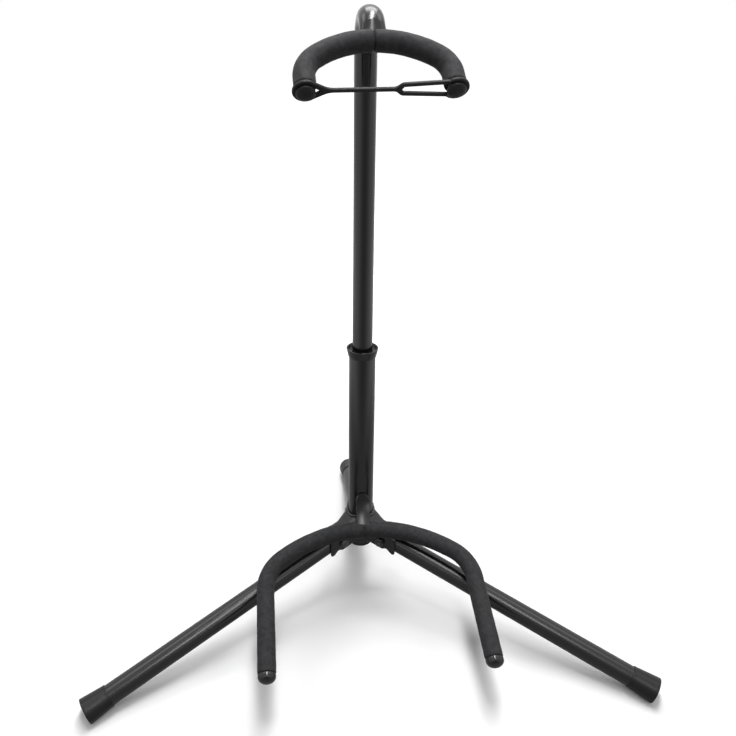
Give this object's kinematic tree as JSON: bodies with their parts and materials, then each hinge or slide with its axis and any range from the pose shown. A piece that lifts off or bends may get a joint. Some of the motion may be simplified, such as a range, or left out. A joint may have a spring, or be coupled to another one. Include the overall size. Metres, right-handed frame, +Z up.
{
  "type": "guitar stand",
  "caption": "Folding tubular guitar stand: tripod legs with rubber boots, telescopic mast, foam-sleeved cradle, and a foam-sleeved neck yoke closed by a rubber strap.",
  "frame": {"origin": "on the floor, under the middle of the stand's bounding box", "axes": "+Z up, -Y towards the front of the stand where the guitar hangs, +X to the right as seen from the front"},
  "size_m": [0.5348, 0.3413, 0.577],
  "materials": {
    "black_paint": "satin black powder coat",
    "black_foam": "matte closed-cell foam",
    "black_rubber": "matte moulded rubber",
    "black_plastic": "semi-gloss moulded plastic",
    "dark_zinc": "blackened zinc plate"
  },
  "bodies": {
    "base": {"lower_tube": "black_paint", "lower_tube_plug": "black_plastic", "collar": "black_plastic", "clamp_boss": "black_paint", "cradle_rod": "black_paint", "cradle_foam_left": "black_foam", "cradle_foam_right": "black_foam", "cradle_cap_left": "black_plastic", "cradle_cap_right": "black_plastic", "cradle_brace": "black_paint", "leg_bracket_left": "black_paint", "leg_bracket_right": "black_paint", "leg_bracket_rear": "black_paint", "pivot_bolt_left": "dark_zinc", "pivot_bolt_right": "dark_zinc", "pivot_bolt_rear": "dark_zinc", "pivot_nut_left": "dark_zinc", "pivot_nut_right": "dark_zinc", "pivot_nut_rear": "dark_zinc"},
    "mast_carriage": {"mast_guide": "black_plastic"},
    "mast": {"upper_tube": "black_paint", "mast_plug": "black_plastic", "neck_rod": "black_paint", "neck_foam_left": "black_foam", "neck_foam_right": "black_foam", "neck_cap_left": "black_rubber", "neck_cap_right": "black_rubber", "neck_strap": "black_rubber"},
    "clamp": {"clamp_screw": "dark_zinc", "clamp_knob": "black_plastic"},
    "left_leg": {"leg_left": "black_paint", "leg_boot_left": "black_rubber"},
    "right_leg": {"leg_right": "black_paint", "leg_boot_right": "black_rubber"},
    "rear_leg": {"leg_rear": "black_paint", "leg_boot_rear": "black_rubber"}
  },
  "joints": [
    {"name": "mast_height", "type": "slide", "parent": "base", "child": "mast_carriage", "axis": [0, 0.1097, 0.994], "range_m": [0, 0.12]},
    {"name": "mast_swivel", "type": "hinge", "parent": "mast_carriage", "child": "mast", "pos_m": [0, -0.00148, 0.07695], "axis": [0, 0.1097, 0.994], "continuous": true},
    {"name": "clamp_turn", "type": "hinge", "parent": "base", "child": "clamp", "pos_m": [0, 0.01608, 0.23599], "axis": [0, 0.994, -0.1097], "range_deg": [0, 720]},
    {"name": "left_leg_fold", "type": "hinge", "parent": "base", "child": "left_leg", "pos_m": [-0.02425, -0.01624, 0.07077], "axis": [0.5, -0.8608, 0.095], "range_deg": [0, 74.5]},
    {"name": "right_leg_fold", "type": "hinge", "parent": "base", "child": "right_leg", "pos_m": [0.02425, -0.01624, 0.07077], "axis": [0.5, 0.8608, -0.095], "range_deg": [0, 74.5]},
    {"name": "rear_leg_fold", "type": "hinge", "parent": "base", "child": "rear_leg", "pos_m": [0, 0.0255, 0.06616], "axis": [-1, 0, 0], "range_deg": [0, 74.5]}
  ]
}
